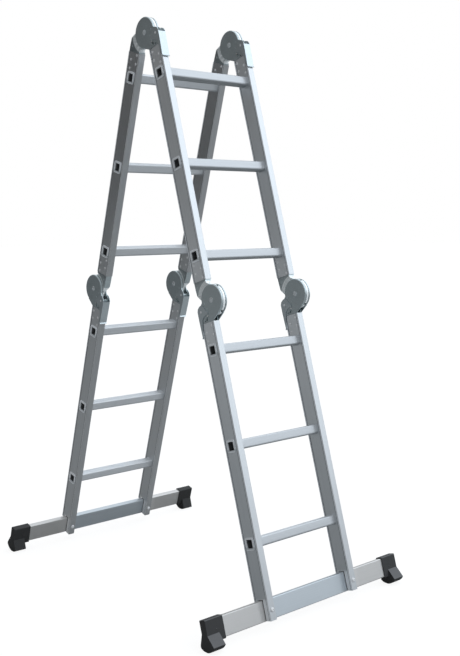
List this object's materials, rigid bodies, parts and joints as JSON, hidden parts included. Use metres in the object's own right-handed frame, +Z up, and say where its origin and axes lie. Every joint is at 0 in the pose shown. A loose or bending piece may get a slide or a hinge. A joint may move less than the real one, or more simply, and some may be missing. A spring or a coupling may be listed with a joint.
{
  "type": "multi position ladder",
  "caption": "Folding ladder standing as an A-frame: tubular sections joined by locking hinges with levers, square rungs, and wide stabilizer bars on rubber feet.",
  "frame": {"origin": "on the floor, midway between the four feet", "axes": "+Z up, X along the rungs, the front leg leans to -Y"},
  "size_m": [0.778, 1.1298, 1.7473],
  "materials": {
    "stile": "extruded, satin, bluish silver",
    "rung": "extruded, satin",
    "hinge": "zinc plated, grey",
    "fastener": "bright zinc",
    "lever": "zinc plated",
    "bolt": "ground",
    "spring": "spring steel",
    "bar": "extruded, satin",
    "liner": "black",
    "foot": "moulded, dull"
  },
  "bodies": {
    "upper_front": {"upper_front_left_stile": "stile", "upper_front_right_stile": "stile", "upper_front_rungs": "rung", "upper_front_rivets": "fastener", "top_left_clevis": "hinge", "top_right_clevis": "hinge", "front_left_hinge_arm": "hinge", "front_right_hinge_arm": "hinge", "top_pivot_pins": "hinge", "top_lever_rivets": "fastener", "top_lever_springs": "spring"},
    "upper_rear": {"upper_rear_left_stile": "stile", "upper_rear_right_stile": "stile", "upper_rear_rungs": "rung", "upper_rear_rivets": "fastener", "top_left_hinge_arm": "hinge", "top_right_hinge_arm": "hinge", "rear_left_hinge_arm": "hinge", "rear_right_hinge_arm": "hinge"},
    "lower_front": {"lower_front_left_stile": "stile", "lower_front_right_stile": "stile", "lower_front_rungs": "rung", "lower_front_rivets": "fastener", "front_left_clevis": "hinge", "front_right_clevis": "hinge", "front_pivot_pins": "hinge", "front_lever_rivets": "fastener", "front_lever_springs": "spring", "front_stabilizer_bar": "bar", "front_bar_screws": "fastener", "front_bar_liners": "liner", "front_left_foot": "foot", "front_right_foot": "foot"},
    "lower_rear": {"lower_rear_left_stile": "stile", "lower_rear_right_stile": "stile", "lower_rear_rungs": "rung", "lower_rear_rivets": "fastener", "rear_left_clevis": "hinge", "rear_right_clevis": "hinge", "rear_pivot_pins": "hinge", "rear_lever_rivets": "fastener", "rear_lever_springs": "spring", "rear_stabilizer_bar": "bar", "rear_bar_screws": "fastener", "rear_bar_liners": "liner", "rear_left_foot": "foot", "rear_right_foot": "foot"},
    "top_left_lever": {"top_left_lever": "lever"},
    "top_left_lock_bolt": {"top_left_lock_bolt": "bolt"},
    "top_right_lever": {"top_right_lever": "lever"},
    "top_right_lock_bolt": {"top_right_lock_bolt": "bolt"},
    "front_left_lever": {"front_left_lever": "lever"},
    "front_left_lock_bolt": {"front_left_lock_bolt": "bolt"},
    "front_right_lever": {"front_right_lever": "lever"},
    "front_right_lock_bolt": {"front_right_lock_bolt": "bolt"},
    "rear_left_lever": {"rear_left_lever": "lever"},
    "rear_left_lock_bolt": {"rear_left_lock_bolt": "bolt"},
    "rear_right_lever": {"rear_right_lever": "lever"},
    "rear_right_lock_bolt": {"rear_right_lock_bolt": "bolt"}
  },
  "joints": [
    {"name": "top_hinge", "type": "hinge", "parent": "upper_front", "child": "upper_rear", "pos_m": [0, 0, 1.70128], "axis": [1, 0, 0], "range_deg": [-33, 147]},
    {"name": "front_hinge", "type": "hinge", "parent": "upper_front", "child": "lower_front", "pos_m": [0, -0.30761, 0.91631], "axis": [1, 0, 0], "range_deg": [-180, 0]},
    {"name": "rear_hinge", "type": "hinge", "parent": "upper_rear", "child": "lower_rear", "pos_m": [0, 0.30761, 0.91631], "axis": [-1, 0, 0], "range_deg": [-180, 0]},
    {"name": "top_left_lever_pull", "type": "hinge", "parent": "upper_front", "child": "top_left_lever", "pos_m": [-0.1675, -0.05826, 1.69298], "axis": [-1, 0, 0], "range_deg": [0, 12], "stiffness_Nm_per_rad": 0.8, "springref_deg": -14.32},
    {"name": "top_left_bolt_slide", "type": "slide", "parent": "upper_front", "child": "top_left_lock_bolt", "axis": [0, -0.776, -0.6307], "range_m": [0, 0.0056]},
    {"name": "top_right_lever_pull", "type": "hinge", "parent": "upper_front", "child": "top_right_lever", "pos_m": [0.1675, -0.05826, 1.69298], "axis": [-1, 0, 0], "range_deg": [0, 12], "stiffness_Nm_per_rad": 0.8, "springref_deg": -14.32},
    {"name": "top_right_bolt_slide", "type": "slide", "parent": "upper_front", "child": "top_right_lock_bolt", "axis": [0, -0.776, -0.6307], "range_m": [0, 0.0056]},
    {"name": "front_left_lever_pull", "type": "hinge", "parent": "lower_front", "child": "front_left_lever", "pos_m": [-0.1675, -0.26327, 0.87763], "axis": [1, 0, 0], "range_deg": [0, 12], "stiffness_Nm_per_rad": 0.8, "springref_deg": -14.32},
    {"name": "front_left_bolt_slide", "type": "slide", "parent": "lower_front", "child": "front_left_lock_bolt", "axis": [0, 0.3074, -0.9516], "range_m": [0, 0.0056]},
    {"name": "front_right_lever_pull", "type": "hinge", "parent": "lower_front", "child": "front_right_lever", "pos_m": [0.1675, -0.26327, 0.87763], "axis": [1, 0, 0], "range_deg": [0, 12], "stiffness_Nm_per_rad": 0.8, "springref_deg": -14.32},
    {"name": "front_right_bolt_slide", "type": "slide", "parent": "lower_front", "child": "front_right_lock_bolt", "axis": [0, 0.3074, -0.9516], "range_m": [0, 0.0056]},
    {"name": "rear_left_lever_pull", "type": "hinge", "parent": "lower_rear", "child": "rear_left_lever", "pos_m": [-0.1675, 0.26327, 0.87763], "axis": [-1, 0, 0], "range_deg": [0, 12], "stiffness_Nm_per_rad": 0.8, "springref_deg": -14.32},
    {"name": "rear_left_bolt_slide", "type": "slide", "parent": "lower_rear", "child": "rear_left_lock_bolt", "axis": [0, -0.3074, -0.9516], "range_m": [0, 0.0056]},
    {"name": "rear_right_lever_pull", "type": "hinge", "parent": "lower_rear", "child": "rear_right_lever", "pos_m": [0.1675, 0.26327, 0.87763], "axis": [-1, 0, 0], "range_deg": [0, 12], "stiffness_Nm_per_rad": 0.8, "springref_deg": -14.32},
    {"name": "rear_right_bolt_slide", "type": "slide", "parent": "lower_rear", "child": "rear_right_lock_bolt", "axis": [0, -0.3074, -0.9516], "range_m": [0, 0.0056]}
  ],
  "couplings": [
    {"joint": "top_left_bolt_slide", "follows": "top_left_lever_pull", "m_per_rad": 0.0267},
    {"joint": "top_right_bolt_slide", "follows": "top_right_lever_pull", "m_per_rad": 0.0267},
    {"joint": "front_left_bolt_slide", "follows": "front_left_lever_pull", "m_per_rad": 0.0267},
    {"joint": "front_right_bolt_slide", "follows": "front_right_lever_pull", "m_per_rad": 0.0267},
    {"joint": "rear_left_bolt_slide", "follows": "rear_left_lever_pull", "m_per_rad": 0.0267},
    {"joint": "rear_right_bolt_slide", "follows": "rear_right_lever_pull", "m_per_rad": 0.0267}
  ]
}
